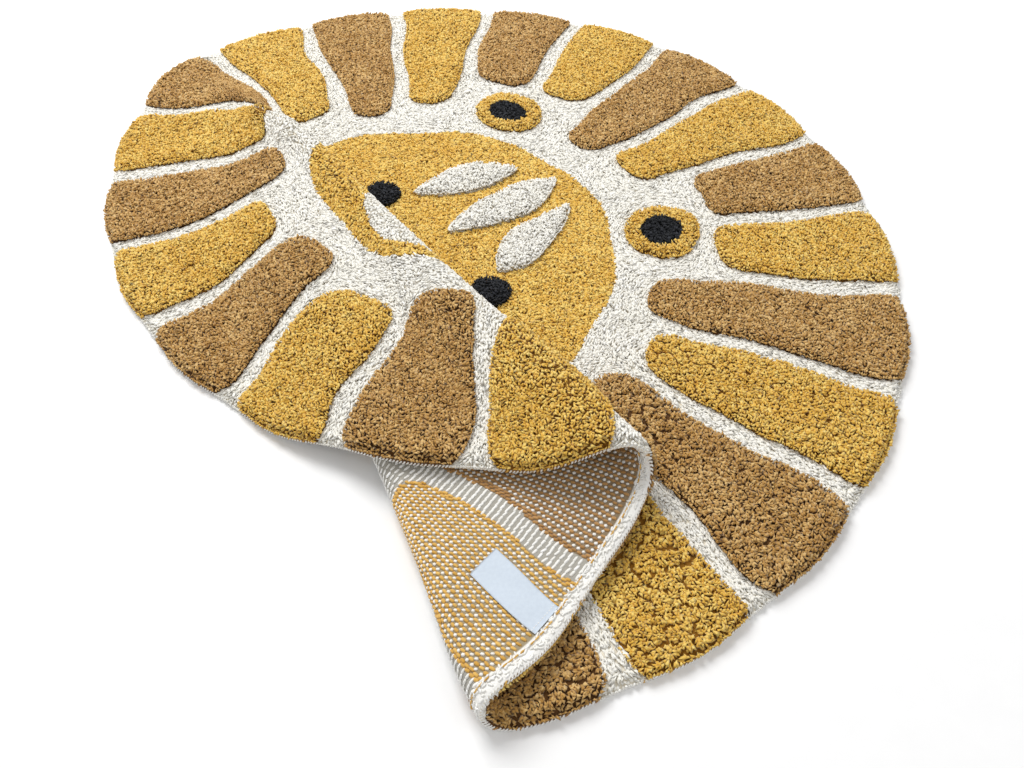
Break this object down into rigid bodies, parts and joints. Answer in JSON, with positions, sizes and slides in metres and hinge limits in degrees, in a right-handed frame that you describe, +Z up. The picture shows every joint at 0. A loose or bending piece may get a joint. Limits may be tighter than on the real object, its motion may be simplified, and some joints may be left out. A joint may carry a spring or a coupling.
{
  "type": "round tufted rug",
  "caption": "Round tufted cotton rug for a child's room with rays and an animal face in raised pile, lying in a three-layer pleat, one side folded over.",
  "frame": {"origin": "middle of the folded rug's footprint, on the floor", "axes": "+Z up from the floor, +Y away from the viewer of the picture, +X to that viewer's right"},
  "size_m": [1.0306, 1.1888, 0.0933],
  "materials": {
    "cotton_pile": "cut cotton pile, matt, with a woven and stitched back",
    "label_tape": "smooth woven tape, matt"
  },
  "bodies": {
    "root": {"rug": "cotton_pile", "care_label": "label_tape"}
  },
  "joints": []
}
